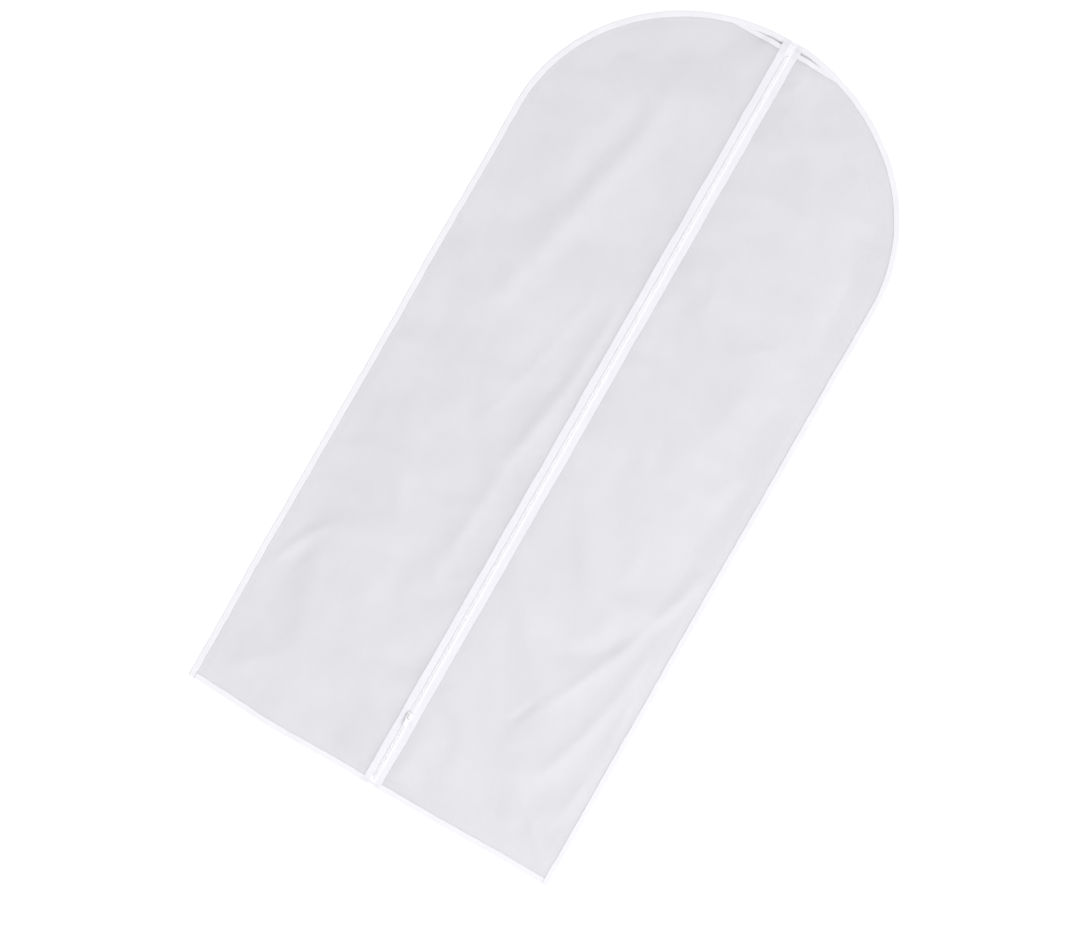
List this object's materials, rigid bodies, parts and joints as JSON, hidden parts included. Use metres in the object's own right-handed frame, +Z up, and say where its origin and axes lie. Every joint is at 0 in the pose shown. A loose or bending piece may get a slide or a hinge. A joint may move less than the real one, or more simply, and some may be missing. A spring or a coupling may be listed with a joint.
{
  "type": "garment bag",
  "caption": "Flat garment bag of frosted film with an arched top, taped edges, a hanger opening and a full-length centre zip.",
  "frame": {"origin": "middle of the bag's length and width, on the surface that it lies on", "axes": "+Z up out of the front face, +Y along the zip towards the hanger opening, +X to the right of the zip seen from the front"},
  "size_m": [0.584, 1.1999, 0.0158],
  "materials": {
    "film": "frosted translucent",
    "binding": "matte non-woven tape",
    "zip_tape": "matte woven",
    "coil": "satin nylon",
    "cord": "matte",
    "thread": "satin",
    "slider": "gloss enamel"
  },
  "bodies": {
    "bag": {"back_panel": "film", "front_panel_left": "film", "front_panel_right": "film", "edge_binding": "binding", "bottom_binding": "binding", "neck_binding_left": "binding", "neck_binding_right": "binding", "zip_tape_left": "zip_tape", "zip_tape_right": "zip_tape", "zip_coil_left": "coil", "zip_coil_right": "coil", "zip_coil_cord_left": "cord", "zip_coil_cord_right": "cord", "edge_seam_thread": "thread", "bottom_seam_thread": "thread", "zip_bartack_top": "thread", "zip_bartack_bottom": "thread", "neck_seam_thread_left": "thread", "neck_seam_thread_right": "thread", "zip_coil_thread_left": "thread", "zip_coil_thread_right": "thread", "zip_seam_thread_left": "thread", "zip_seam_thread_right": "thread"},
    "slider": {"zip_slider_body": "slider"},
    "tab": {"zip_pull_tab": "slider"}
  },
  "joints": [
    {"name": "zip_slide", "type": "slide", "parent": "bag", "child": "slider", "axis": [0, 1, 0], "range_m": [-0.076, 1.054]},
    {"name": "pull_tab_hinge", "type": "hinge", "parent": "slider", "child": "tab", "pos_m": [0, -0.4875, 0.01395], "axis": [-1, 0, 0], "range_deg": [0, 178]}
  ]
}
